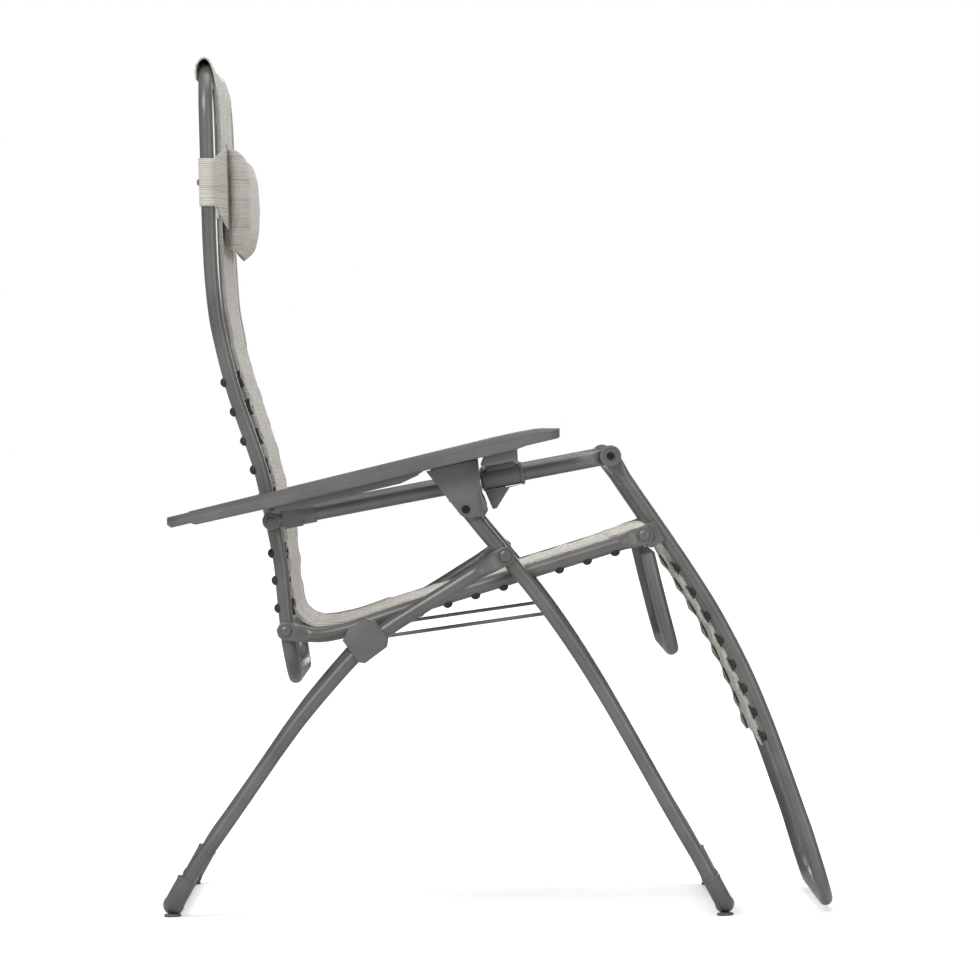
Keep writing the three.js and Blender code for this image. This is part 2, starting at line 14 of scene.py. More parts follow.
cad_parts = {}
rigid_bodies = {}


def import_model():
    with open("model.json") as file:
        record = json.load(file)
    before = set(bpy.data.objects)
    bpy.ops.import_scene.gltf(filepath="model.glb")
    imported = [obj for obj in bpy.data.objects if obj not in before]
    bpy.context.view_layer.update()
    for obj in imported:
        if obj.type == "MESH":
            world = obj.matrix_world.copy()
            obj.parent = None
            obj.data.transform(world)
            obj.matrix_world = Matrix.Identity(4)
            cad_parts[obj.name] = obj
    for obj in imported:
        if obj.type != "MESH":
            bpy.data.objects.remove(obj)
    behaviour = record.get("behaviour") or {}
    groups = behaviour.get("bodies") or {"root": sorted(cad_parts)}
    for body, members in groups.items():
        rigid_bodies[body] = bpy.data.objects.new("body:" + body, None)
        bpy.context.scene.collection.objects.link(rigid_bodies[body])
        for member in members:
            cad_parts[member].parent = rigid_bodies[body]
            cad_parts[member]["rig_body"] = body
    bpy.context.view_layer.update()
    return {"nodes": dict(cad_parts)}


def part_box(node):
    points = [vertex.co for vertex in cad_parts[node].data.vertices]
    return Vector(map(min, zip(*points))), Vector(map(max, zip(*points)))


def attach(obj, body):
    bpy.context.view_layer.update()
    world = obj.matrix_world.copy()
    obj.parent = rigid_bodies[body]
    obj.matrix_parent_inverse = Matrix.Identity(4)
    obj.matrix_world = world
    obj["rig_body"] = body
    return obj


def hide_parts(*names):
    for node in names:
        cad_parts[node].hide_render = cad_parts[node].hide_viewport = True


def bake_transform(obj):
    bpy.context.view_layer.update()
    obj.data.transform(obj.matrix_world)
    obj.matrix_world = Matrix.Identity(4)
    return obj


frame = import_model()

MM = 0.001
X = Vector((1, 0, 0))
Y = Vector((0, 1, 0))
Z = Vector((0, 0, 1))

# ---- Camera, floor and light ----

CAMERA_AT = (-0.0327, -8.83, 0.643)
CAMERA_AIM = (-0.0102, -0.33, 0.5665)
CAMERA_LENS = 236
FLOOR_SIZE = 60


def make_camera():
    data = bpy.data.cameras.new("camera")
    data.lens = CAMERA_LENS
    data.sensor_width = 36
    data.clip_end = 100
    camera = bpy.data.objects.new("camera", data)
    camera.location = CAMERA_AT
    view = Vector(CAMERA_AIM) - Vector(CAMERA_AT)
    camera.rotation_euler = view.to_track_quat("-Z", "Y").to_euler()
    bpy.context.scene.collection.objects.link(camera)
    bpy.context.scene.camera = camera


def area_light(name, place, aim, size, power):
    data = bpy.data.lights.new(name, "AREA")
    data.shape = "RECTANGLE"
    data.size, data.size_y = size
    data.energy = power
    light = bpy.data.objects.new(name, data)
    light.location = place
    view = Vector(aim) - Vector(place)
    light.rotation_euler = view.to_track_quat("-Z", "Y").to_euler()
    bpy.context.scene.collection.objects.link(light)


def make_studio():
    scene = bpy.context.scene
    scene.view_settings.view_transform = "Standard"
    world = bpy.data.worlds.new("studio")
    world.use_nodes = True
    scene.world = world
    tree = world.node_tree
    shade = tree.nodes["Background"]
    shade.inputs["Color"].default_value = (1, 1, 1, 1)
    path = add_node(tree, "ShaderNodeLightPath")
    strength = ranged(tree, path.outputs["Is Camera Ray"], 0.36, 1.0)
    tree.links.new(strength, shade.inputs["Strength"])
    area_light("key", (-2.4, -3.6, 3.6), (0, 0, 0.5), (1.6, 1.6), 150)
    area_light("fill", (3.2, -3.4, 1.6), (0, 0, 0.5), (1.2, 2.6), 42)
    area_light("top", (0.3, 0.6, 4.2), (0, 0, 0.4), (2.6, 2.6), 70)
    area_light("rim", (1.2, 4.2, 1.8), (0, 0, 0.6), (3.0, 2.0), 60)
    mesh = bpy.data.meshes.new("floor")
    half = FLOOR_SIZE / 2
    corners = [(-half, -half, 0), (half, -half, 0), (half, half, 0), (-half, half, 0)]
    mesh.from_pydata(corners, [], [(0, 1, 2, 3)])
    floor = bpy.data.objects.new("floor", mesh)
    scene.collection.objects.link(floor)
    pale, tree, shader = new_material("pale_floor", (0.86, 0.86, 0.86), 0.85)
    shader.inputs["Emission Color"].default_value = (1, 1, 1, 1)
    away = add_node(tree, "ShaderNodeVectorMath", {0: place_of(tree)}, operation="LENGTH")
    glow_inputs = {
        "Value": away.outputs["Value"],
        "From Min": 0.7, "From Max": 2.6, "To Min": 0.4, "To Max": 1.0,
    }
    glow = add_node(tree, "ShaderNodeMapRange", glow_inputs, interpolation_type="SMOOTHSTEP")
    path = add_node(tree, "ShaderNodeLightPath")
    seen = {0: glow.outputs["Result"], 1: path.outputs["Is Camera Ray"]}
    shown = add_node(tree, "ShaderNodeMath", seen, operation="MULTIPLY")
    tree.links.new(shown.outputs[0], shader.inputs["Emission Strength"])
    mesh.materials.append(pale)


# ---- Materials ----


def new_material(name, colour, roughness, metallic=0.0):
    made = bpy.data.materials.new(name)
    made.use_nodes = True
    made.diffuse_color = (*colour, 1)
    shader = made.node_tree.nodes["Principled BSDF"]
    shader.inputs["Base Color"].default_value = (*colour, 1)
    shader.inputs["Roughness"].default_value = roughness
    shader.inputs["Metallic"].default_value = metallic
    return made, made.node_tree, shader


def add_node(tree, kind, inputs=None, **settings):
    node = tree.nodes.new(kind)
    for key, value in settings.items():
        setattr(node, key, value)
    for key, value in (inputs or {}).items():
        if isinstance(value, bpy.types.NodeSocket):
            tree.links.new(value, node.inputs[key])
        else:
            node.inputs[key].default_value = value
    return node


def noise(tree, vector, scale, detail=2.0, roughness=0.5):
    inputs = {"Vector": vector, "Scale": scale, "Detail": detail, "Roughness": roughness}
    return add_node(tree, "ShaderNodeTexNoise", inputs).outputs["Fac"]


def ramp(tree, value, stops):
    """Colours at places from 0 to 1."""
    node = add_node(tree, "ShaderNodeValToRGB", {"Fac": value})
    elements = node.color_ramp.elements
    while len(elements) < len(stops):
        elements.new(0.5)
    for element, (place, colour) in zip(elements, stops):
        element.position = place
        element.color = (*colour, 1)
    return node.outputs["Color"]


def multiplied(tree, share, first, second):
    inputs = {0: share, 6: first, 7: second}
    node = add_node(tree, "ShaderNodeMix", inputs, data_type="RGBA", blend_type="MULTIPLY")
    return node.outputs[2]


def ranged(tree, value, low, high):
    inputs = {"Value": value, "To Min": low, "To Max": high}
    return add_node(tree, "ShaderNodeMapRange", inputs).outputs["Result"]


def bump(tree, shader, height, distance, strength=1.0):
    inputs = {"Height": height, "Distance": distance, "Strength": strength}
    node = add_node(tree, "ShaderNodeBump", inputs)
    tree.links.new(node.outputs["Normal"], shader.inputs["Normal"])


def place_of(tree):
    return add_node(tree, "ShaderNodeTexCoord").outputs["Object"]


def grainy(name, dark, light, roughness, metallic, grain, depth):
    """A finish of one colour that varies slowly, with a fine grain in its surface."""
    made, tree, shader = new_material(name, light, roughness[0], metallic)
    place = place_of(tree)
    cloud = noise(tree, place, 14, 3)
    tree.links.new(ramp(tree, cloud, [(0.35, dark), (0.65, light)]), shader.inputs["Base Color"])
    speckle = noise(tree, place, grain, 3, 0.6)
    tree.links.new(ranged(tree, speckle, *roughness), shader.inputs["Roughness"])
    bump(tree, shader, speckle, depth, 0.5)
    return made


def brushed_steel():
    made, tree, shader = new_material("steel", (0.42, 0.42, 0.41), 0.3, 0.95)
    scale = add_node(tree, "ShaderNodeMapping", {"Vector": place_of(tree), "Scale": (1, 40, 1)})
    streak = noise(tree, scale.outputs["Vector"], 120, 3)
    tree.links.new(ranged(tree, streak, 0.22, 0.42), shader.inputs["Roughness"])
    tone = ramp(tree, streak, [(0.3, (0.34, 0.34, 0.33)), (0.7, (0.48, 0.48, 0.47))])
    tree.links.new(tone, shader.inputs["Base Color"])
    bump(tree, shader, streak, 0.05 * MM, 0.4)
    return made


WAVE_PERIOD = math.pi / 10
RIB_PITCH = 2.9 * MM
YARN_PITCH = 1.3 * MM


def woven(name, across, along):
    """Ribbed textilene. across and along name what the cloth's width and length are read from."""
    made, tree, shader = new_material(name, (0.6, 0.55, 0.47), 0.85)
    coordinates = add_node(tree, "ShaderNodeTexCoord")
    source = "UV" if across == "u" else "Object"
    split = add_node(tree, "ShaderNodeSeparateXYZ", {"Vector": coordinates.outputs[source]})
    axes = {"u": "X", "v": "Y", "x": "X", "y": "Y", "z": "Z"}
    pair = {"X": split.outputs[axes[across]], "Y": split.outputs[axes[along]]}
    cloth = add_node(tree, "ShaderNodeCombineXYZ", pair).outputs["Vector"]
    wobble = add_node(tree, "ShaderNodeMapping", {"Vector": cloth, "Scale": (9, 60, 1)})
    drift = noise(tree, wobble.outputs["Vector"], 1.0, 2)
    streaks = add_node(tree, "ShaderNodeMapping", {"Vector": cloth, "Scale": (14, 300, 1)})
    slub = noise(tree, streaks.outputs["Vector"], 1.0, 3, 0.65)
    rib_inputs = {
        "Vector": cloth, "Scale": WAVE_PERIOD / RIB_PITCH, "Distortion": 1.2, "Detail": 1.0,
        "Detail Scale": 0.6,
    }
    rib = add_node(tree, "ShaderNodeTexWave", rib_inputs, bands_direction="Y").outputs["Fac"]
    yarn_inputs = {"Vector": cloth, "Scale": WAVE_PERIOD / YARN_PITCH, "Distortion": 0.6}
    yarn = add_node(tree, "ShaderNodeTexWave", yarn_inputs, bands_direction="X").outputs["Fac"]
    warm = ramp(tree, drift, [(0.3, (0.60, 0.575, 0.53)), (0.7, (0.70, 0.68, 0.635))])
    shadow = ramp(tree, rib, [(0.02, (0.64, 0.63, 0.61)), (0.35, (1.0, 1.0, 1.0))])
    ribbed = multiplied(tree, 1.0, warm, shadow)
    patch = ramp(tree, slub, [(0.36, (0.66, 0.65, 0.62)), (0.50, (1.0, 1.0, 1.0))])
    colour = multiplied(tree, 0.75, ribbed, patch)
    speck = ramp(tree, yarn, [(0.1, (0.86, 0.85, 0.83)), (0.5, (1.0, 1.0, 1.0))])
    colour = multiplied(tree, 0.8, colour, speck)
    tree.links.new(colour, shader.inputs["Base Color"])
    tree.links.new(ranged(tree, slub, 0.75, 0.95), shader.inputs["Roughness"])
    shader.inputs["Sheen Weight"].default_value = 0.15
    shader.inputs["Sheen Roughness"].default_value = 0.5
    weave = add_node(tree, "ShaderNodeMath", {0: rib, 1: yarn}, operation="MULTIPLY")
    bump(tree, shader, weave.outputs[0], 0.5 * MM, 0.7)
    return made


PAINT = grainy(
    "paint", (0.122, 0.120, 0.116), (0.160, 0.158, 0.153), (0.34, 0.48), 0.4, 1500, 0.2 * MM)
PLASTIC = grainy(
    "plastic", (0.105, 0.102, 0.097), (0.135, 0.132, 0.126), (0.5, 0.62), 0, 2600, 0.08 * MM)
# A darker copy of the plastic for the armrest's crowned top: painted shade on the top, not a second
# plastic.
SHADED_TOP_PLASTIC = grainy(
    "armrest_top_shade", (0.075, 0.073, 0.07), (0.098, 0.095, 0.09), (0.46, 0.6), 0, 2200, 0.1 * MM)
SATIN = grainy(
    "satin_steel", (0.120, 0.118, 0.114), (0.155, 0.153, 0.148), (0.36, 0.48), 0.5, 1800, 0.06 * MM)
DARK_STEEL = grainy(
    "dark_steel", (0.02, 0.02, 0.021), (0.035, 0.035, 0.036), (0.3, 0.45), 0.7, 1800, 0.04 * MM)
RUBBER = grainy(
    "rubber", (0.012, 0.012, 0.012), (0.022, 0.021, 0.02), (0.55, 0.75), 0, 1200, 0.1 * MM)
PIPING = grainy(
    "piping", (0.16, 0.15, 0.13), (0.24, 0.225, 0.2), (0.75, 0.9), 0, 1500, 0.1 * MM)
STEEL = brushed_steel()
SLING_CLOTH = woven("sling_cloth", "u", "v")
PILLOW_CLOTH = woven("pillow_cloth", "y", "z")
STRAP_CLOTH = woven("strap_cloth", "x", "z")

# ---- Reading the frame ----

RAY_START = 3
TREES = {}


def through(node, point, direction):
    """Where a line through a point goes into a CAD node and where it leaves it."""
    if node not in TREES:
        mesh = frame["nodes"][node].data
        faces = [p.vertices for p in mesh.polygons]
        TREES[node] = BVHTree.FromPolygons([v.co for v in mesh.vertices], faces)
    step = RAY_START * Vector(direction)
    first = TREES[node].ray_cast(Vector(point) - step, step)[0]
    last = TREES[node].ray_cast(Vector(point) + step, -step)[0]
    return first, last


def middle(node, point, direction):
    first, last = through(node, point, direction)
    return (first + last) / 2


def centre(node):
    lo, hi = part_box(node)
    return (lo + hi) / 2


def spaced(first, last, count):
    return [first + (last - first) * i / (count - 1) for i in range(count)]


def flat(point, y=0.0):
    """The same place in the side view, at another distance from the middle plane."""
    return Vector((point.x, y, point.z))


# ---- Lines and meshes ----


def smooth(points, step):
    """A centripetal Catmull-Rom line through the points, with a point about every step."""
    points = [Vector(p) for p in points]
    ends = [2 * points[0] - points[1], *points, 2 * points[-1] - points[-2]]
    line = []
    for a, b, c, d in zip(ends, ends[1:], ends[2:], ends[3:]):
        t1 = math.sqrt((b - a).length)
        t2 = t1 + math.sqrt((c - b).length)
        t3 = t2 + math.sqrt((d - c).length)
        count = max(1, round((c - b).length / step))
        for i in range(count):
            t = t1 + (t2 - t1) * i / count
            ab = a.lerp(b, t / t1)
            bc = b.lerp(c, (t - t1) / (t2 - t1))
            cd = c.lerp(d, (t - t2) / (t3 - t2))
            abc = ab.lerp(bc, t / t2)
            bcd = bc.lerp(cd, (t - t1) / (t3 - t1))
            line.append(abc.lerp(bcd, (t - t1) / (t2 - t1)))
    return [*line, points[-1]]


def lengths(line):
    """Distance along a line at each of its points."""
    total = [0.0]
    for a, b in zip(line, line[1:]):
        total.append(total[-1] + (b - a).length)
    return total


def bend(corner, before, radius, steps=12):
    """A quarter bend, where a side tube that comes from before turns across at a corner."""
    travel = (corner - before).normalized()
    inwards = Y * -math.copysign(1, corner.y)
    angles = spaced(0, math.pi / 2, steps + 1)
    return [
        corner - travel * radius * (1 - math.sin(a)) + inwards * radius * (1 - math.cos(a))
        for a in angles
    ]


def mirrored_line(line):
    return [Vector((p.x, -p.y, p.z)) for p in reversed(line)]


ROUND = 28


def round_section(radius):
    return lambda distance, rest: (radius, radius, 0.0, 1.0)


def eased(t):
    t = min(max(t, 0.0), 1.0)
    return t * t * (3 - 2 * t)


def tip_width(distance, radius):
    """Half width of a round plate end, at a distance from its tip."""
    short = max(radius - distance, 0.0)
    return math.sqrt(max(radius ** 2 - short ** 2, (0.06 * radius) ** 2))


def pressed_section(radius, plate_radius, thickness, inwards, length=0.03, both=True):
    """A tube whose end is pressed flat into a round-ended lug, set off from its centre line."""

    def section(distance, rest):
        near = min(distance, rest) if both else distance
        t = eased((near - 1.6 * plate_radius) / length)
        height = tip_width(near, plate_radius) * (1 - t) + radius * t
        depth = thickness / 2 * (1 - t) + radius * t
        return height, depth, inwards * (1 - t), 0.5 + 0.5 * t

    return section


def domed_section(radius, depth, both=True):
    """A tube with rounded-over ends."""

    def section(distance, rest):
        near = min(distance, rest) if both else distance
        short = max(depth - near, 0) / depth
        r = radius * math.sqrt(max(1 - short ** 2, 0.02))
        return r, r, 0.0, 1.0

    return section


def sweep(bm, line, section, closed=False, sides=ROUND):
    """Rings along a line. The section gives half height, half width, inward shift and roundness."""
    travelled = lengths(line)
    tangents = []
    for i in range(len(line)):
        before = line[i - 1] if i or closed else line[0]
        after = line[(i + 1) % len(line)] if i + 1 < len(line) or closed else line[-1]
        tangents.append((after - before).normalized())
    uprights = [flat(tangent).cross(Y) for tangent in tangents]
    normal = next((u for u in uprights if u.length > 0.3), X).normalized()
    rings = []
    for i, point in enumerate(line):
        tangent, upright = tangents[i], uprights[i]
        if upright.length > 0.05:
            normal = upright.normalized() * (1 if normal.dot(upright) > 0 else -1)
        inwards = tangent.cross(normal).normalized()
        out = inwards.cross(tangent).normalized()
        if out.dot(normal) < 0:
            out.negate()
        high, wide, shift, power = section(travelled[i], travelled[-1] - travelled[i])
        ring = []
        for k in range(sides):
            c = math.cos(2 * math.pi * k / sides)
            s = math.sin(2 * math.pi * k / sides)
            u = high * math.copysign(abs(c) ** power, c)
            v = wide * math.copysign(abs(s) ** power, s) + shift
            ring.append(bm.verts.new(point + out * u + inwards * v))
        rings.append(ring)
    pairs = list(zip(rings, rings[1:]))
    if closed:
        pairs.append((rings[-1], rings[0]))
    else:
        bm.faces.new(reversed(rings[0]))
        bm.faces.new(rings[-1])
    for ring, following in pairs:
        for k in range(sides):
            n = (k + 1) % sides
            bm.faces.new((ring[k], ring[n], following[n], following[k]))
    return rings


def hexagon(angle):
    """How far a hexagon's edge stands from its middle, for a corner radius of 1."""
    return math.cos(math.pi / 6) / math.cos((angle % (math.pi / 3)) - math.pi / 6)


def lathe(bm, origin, steps, axis=Y, sides=36, hexes=(), closed=False, stretch=1.0):
    """Turns (radius, distance along the axis) steps about an axis; hexes are six-sided rings."""
    axis = Vector(axis).normalized()
    side = axis.orthogonal().normalized() if abs(axis.y) < 0.99 else Vector(X)
    other = axis.cross(side)
    rings = []
    for i, (radius, along) in enumerate(steps):
        foot = Vector(origin) + axis * along
        if radius < 1e-6:
            rings.append([bm.verts.new(foot)])
            continue
        ring = []
        for k in range(sides):
            a = 2 * math.pi * k / sides
            r = radius * (hexagon(a) if i in hexes else 1)
            place = foot + side * r * math.cos(a) + other * r * stretch * math.sin(a)
            ring.append(bm.verts.new(place))
        rings.append(ring)
    pairs = list(zip(rings, rings[1:]))
    if closed:
        pairs.append((rings[-1], rings[0]))
    for ring, following in pairs:
        for k in range(sides):
            n = (k + 1) % sides
            corners = (
                ring[k % len(ring)], ring[n % len(ring)],
                following[n % len(following)], following[k % len(following)],
            )
            bm.faces.new(list(dict.fromkeys(corners)))


def arc(radius, start, direction, height, steps=7):
    """Profile steps of a dome: from its rim, at distance start, to its top on the axis."""
    angles = spaced(0, math.pi / 2, steps)
    return [
        (radius * math.cos(a) if a < 1.57 else 0.0, start + direction * height * math.sin(a))
        for a in angles
    ]


def rounded_disc(radius, low, high, edge):
    """Profile steps of a disc with rounded rims."""
    angles = spaced(0, math.pi / 2, 4)
    lower = [(radius - edge + edge * math.sin(a), low + edge - edge * math.cos(a)) for a in angles]
    upper = [(radius - edge + edge * math.cos(a), high - edge + edge * math.sin(a)) for a in angles]
    return [*lower, *upper]


def prism(bm, outline, y0, y1):
    """An upright plate with a side-view outline of (x, z)."""
    lower = [bm.verts.new((x, y0, z)) for x, z in outline]
    upper = [bm.verts.new((x, y1, z)) for x, z in outline]
    bm.faces.new(lower)
    bm.faces.new(reversed(upper))
    for i in range(len(outline)):
        n = (i + 1) % len(outline)
        bm.faces.new((lower[i], upper[i], upper[n], lower[n]))


def soften(bm, width, angle=0.6, segments=3):
    """Rounds the edges that turn by more than an angle."""
    bmesh.ops.recalc_face_normals(bm, faces=bm.faces)
    sharp = [e for e in bm.edges if len(e.link_faces) == 2 and e.calc_face_angle(0) > angle]
    bmesh.ops.bevel(
        bm, geom=sharp, offset=width, segments=segments, profile=0.5, affect="EDGES",
        clamp_overlap=True,
    )


def add_plate(bm, outline, y0, y1, width):
    """Adds an upright plate whose edges are rounded."""
    plate = bmesh.new()
    prism(plate, outline, y0, y1)
    soften(plate, width)
    mesh = bpy.data.meshes.new("part")
    plate.to_mesh(mesh)
    plate.free()
    bm.from_mesh(mesh)
    bpy.data.meshes.remove(mesh)


def object_of(name, bm, finish, sharp=0.6, recalculate=True):
    if recalculate:
        bmesh.ops.recalc_face_normals(bm, faces=bm.faces)
    mesh = bpy.data.meshes.new(name)
    bm.to_mesh(mesh)
    bm.free()
    mesh.polygons.foreach_set("use_smooth", [True] * len(mesh.polygons))
    mesh.set_sharp_from_angle(angle=sharp)
    for one in finish if isinstance(finish, (list, tuple)) else [finish]:
        mesh.materials.append(one)
    made = bpy.data.objects.new(name, mesh)
    bpy.context.scene.collection.objects.link(made)
    return made


def thicken(made, thickness):
    """Gives a sheet of cloth its thickness."""
    thick = made.modifiers.new("cloth thickness", "SOLIDIFY")
    thick.thickness = thickness
    thick.offset = 0


def cloth_grid(bm, layer, rows, uv_at):
    """Faces between rows of points; uv_at gives the cloth's own place for a row and a column."""
    for i, (row, following) in enumerate(zip(rows, rows[1:])):
        for k in range(len(row) - 1):
            face = bm.faces.new((row[k], following[k], following[k + 1], row[k + 1]))
            corners = ((i, k), (i + 1, k), (i + 1, k + 1), (i, k + 1))
            for loop, corner in zip(face.loops, corners):
                loop[layer].uv = uv_at(*corner)


def fitted(node, bm, finish, slot, sharp=0.6):
    """A fine piece that stands for a CAD node and rides on its body."""
    made = object_of(node + "_fine", bm, finish, sharp)
    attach(made, frame["nodes"][node]["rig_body"])
    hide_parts(node)


def turn_over(bm):
    """Mirrors a piece made for the left side to the right."""
    bmesh.ops.scale(bm, vec=(1, -1, 1), verts=bm.verts)
    bmesh.ops.reverse_faces(bm, faces=bm.faces)


def fitted_pair(name, build, finish, slot, sharp=0.6):
    """build fills a bmesh for the left side; the right one is its mirror image."""
    for side in ("left", "right"):
        bm = bmesh.new()
        build(bm)
        if side == "right":
            turn_over(bm)
        fitted(f"{name}_{side}", bm, finish, slot, sharp)


def refined(bm, node, width):
    """A CAD node's own shape, with its flat faces whole and its edges rounded."""
    bm.from_mesh(frame["nodes"][node].data)
    bmesh.ops.remove_doubles(bm, verts=bm.verts, dist=0.01 * MM)
    bmesh.ops.dissolve_limit(bm, angle_limit=0.02, verts=bm.verts, edges=bm.edges)
    soften(bm, width, 0.5)


# ---- Pivots and tube lines, read from the frame ----

BACK_R = 9.5 * MM
SEAT_R = 10 * MM
LEG_R = 10 * MM
ARM_R = 10.5 * MM

back_pivot = flat(centre("back_pivot_rivet_left"))
arm_rear = flat(centre("arm_rear_rivet_left"))
arm_front = flat(centre("arm_front_cap_left"))
foot_pivot = flat(centre("foot_pivot_rivet_left"))
leg_pivot = flat(centre("leg_pivot_rivet_left"))
bracket_pivot = flat(centre("bracket_screw_left"))
back_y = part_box("back_frame")[1].y - BACK_R
rear_leg_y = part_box("rear_leg_frame")[1].y - LEG_R
front_leg_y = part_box("front_leg_frame")[1].y - LEG_R
seat_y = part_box("seat_tube_left")[1].y - SEAT_R

arm_along = (arm_front - arm_rear).normalized()
arm_up = arm_along.cross(Y)
arm_length = (arm_front - arm_rear).length


def arm_point(along, up, y=0.0):
    """A place in the arm link's own frame: mm along it from the rear pivot, and mm above it."""
    return arm_rear + arm_along * along * MM + arm_up * up * MM + Y * y


def tube_line(node, y, first, last, count, axis=Z):
    """Points down the middle of a side tube, at even heights or, for axis X, at even x."""
    across = Z if axis == X else X
    return [
        middle(node, axis * value + Y * y, across) for value in spaced(first, last, count)
    ]


def rail(node, z):
    """The centre of a frame's rail across, at its middle."""
    return middle(node, (0, 50 * MM, z), X)


def u_frame(points, corner, radius, step=7 * MM):
    """Down one side, round the corner, across, and up the other side."""
    corner = Vector((corner.x, points[0].y, corner.z))
    kept = [p for p in points if (p - corner).length > 1.25 * radius]
    turn = bend(corner, kept[-1], radius)
    line = smooth([*kept, turn[0]], step) + turn[1:]
    return line + mirrored_line(line)


ring_corner = {}


def corner_of(node, y, radius, top=False):
    lo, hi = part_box(node)
    z = hi.z - radius if top else lo.z + radius
    return Vector((rail(node, z).x, y, z))


# ---- Tubes ----

LUG_R = 12.5 * MM
LEG_BEND = 34 * MM
FOOT_BEND = 52 * MM
HOOP_BEND = 36 * MM
BACK_BENDS = (42 * MM, 70 * MM)
FINE = 2.5 * MM


def legs():
    corner = corner_of("front_leg_frame", front_leg_y, LEG_R)
    top = bracket_pivot.z
    points = tube_line("front_leg_frame", front_leg_y, top - 2 * MM, corner.z + 30 * MM, 16)
    start = flat(bracket_pivot, front_leg_y) + (points[0] - points[2]).normalized() * 8 * MM
    line = u_frame([start, *points], corner, LEG_BEND)
    ring_corner["front"] = (corner, bend(corner, points[-1], LEG_BEND))
    bm = bmesh.new()
    sweep(bm, line, domed_section(LEG_R, 6 * MM))
    fitted("front_leg_frame", bm, PAINT, "paint")

    corner = corner_of("rear_leg_frame", rear_leg_y, LEG_R)
    top = leg_pivot.z - 22 * MM
    points = tube_line("rear_leg_frame", rear_leg_y, top, corner.z + 30 * MM, 18)
    pivot = flat(leg_pivot, rear_leg_y)
    tip = pivot + (pivot - points[0]).normalized() * LUG_R
    ring_corner["rear"] = (corner, bend(corner, points[-1], LEG_BEND))
    line = u_frame([tip, pivot, *points], corner, LEG_BEND, FINE)
    bm = bmesh.new()
    sweep(bm, line, pressed_section(LEG_R, LUG_R, 4 * MM, rear_leg_y - 318 * MM, 0.04))
    fitted("rear_leg_frame", bm, PAINT, "paint")


def seat_tube(bm):
    node = "seat_tube_left"
    points = tube_line(node, seat_y, back_pivot.x + 44 * MM, foot_pivot.x - 34 * MM, 12, X)
    rear = flat(back_pivot, seat_y)
    front = flat(foot_pivot, seat_y)
    first = rear + (rear - points[0]).normalized() * LUG_R
    last = front + (front - points[-1]).normalized() * LUG_R
    line = smooth([first, rear, *points, front, last], FINE)

    def section(distance, rest):
        inwards = seat_y - (275 if distance < rest else 279.75) * MM
        return pressed_section(SEAT_R, LUG_R, 4.2 * MM, inwards, 0.028)(distance, rest)

    sweep(bm, line, section)


def back_frame():
    low = corner_of("back_frame", back_y, BACK_R)
    high = corner_of("back_frame", back_y, BACK_R, top=True)
    points = tube_line("back_frame", back_y, low.z + 48 * MM, high.z - 78 * MM, 22)
    lower = bend(low, points[0], BACK_BENDS[0])
    upper = bend(high, points[-1], BACK_BENDS[1], 16)
    half = lower[::-1][:-1] + smooth([lower[0], *points, upper[0]], 7 * MM) + upper[1:]
    bm = bmesh.new()
    sweep(bm, half + mirrored_line(half), round_section(BACK_R), closed=True)
    fitted("back_frame", bm, PAINT, "paint")
    return points


def foot_frames():
    corner = corner_of("foot_frame", back_y, BACK_R)
    points = tube_line("foot_frame", back_y, arm_front.z - 20 * MM, corner.z + 62 * MM, 18)
    pivot = flat(arm_front, back_y)
    plate_r = 11 * MM
    tip = pivot + (pivot - points[0]).normalized() * plate_r
    line = u_frame([tip, pivot, *points], corner, FOOT_BEND, FINE)
    bm = bmesh.new()
    sweep(bm, line, pressed_section(BACK_R, plate_r, 4 * MM, back_y - 269 * MM, 0.03))
    fitted("foot_frame", bm, PAINT, "paint")

    hoop_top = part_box("foot_hoop")[1].z
    hoop_corner = corner_of("foot_hoop", back_y, BACK_R)
    hoop = tube_line("foot_hoop", back_y, hoop_top - 12 * MM, hoop_corner.z + 46 * MM, 5)
    first = hoop[0] + (hoop[0] - hoop[1]).normalized() * 10 * MM
    bm = bmesh.new()
    sweep(bm, u_frame([first, *hoop], hoop_corner, HOOP_BEND), domed_section(BACK_R, 5 * MM))
    fitted("foot_hoop", bm, PAINT, "paint")
    return points


def arm_tube(bm):
    plate_r = 10.5 * MM
    front = flat(arm_front, seat_y)
    line = [front + arm_along * plate_r, front]
    line += [arm_point(along, 0, seat_y) for along in spaced(arm_length / MM - 20, 5, 16)]
    section = pressed_section(ARM_R, plate_r, 4.5 * MM, seat_y - 277.25 * MM, 0.02, both=False)
    sweep(bm, smooth(line, FINE), section)
    inner = back_y + BACK_R + 1 * MM
    outer = seat_y + ARM_R
    eye = rounded_disc(12.5 * MM, inner, outer + 0.5 * MM, 3 * MM)
    lathe(bm, arm_rear, [(0.0, inner), *eye, (0.0, outer + 0.5 * MM)])


def stay_rod(bm):
    lo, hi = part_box("stay_rod_left")
    r = 2.5 * MM
    y_in = lo.y + r
    rear = Vector((lo.x + r, y_in, lo.z + r))
    front = Vector((hi.x - r, y_in, hi.z - r))
    travel = (front - rear).normalized()
    hook = Y * (hi.y - y_in)
    line = [rear + hook, rear + Y * 6 * MM]
    line += [rear + Y * 2 * MM + travel * 1 * MM, rear + travel * 5 * MM]
    line += [rear.lerp(front, t) for t in spaced(0.1, 0.9, 5)]
    line += [front - travel * 5 * MM, front + Y * 2 * MM - travel * 1 * MM]
    line += [front + Y * 6 * MM, front + hook]
    sweep(bm, smooth(line, 2 * MM), domed_section(r, 1.2 * MM), sides=16)


# ---- Fittings ----


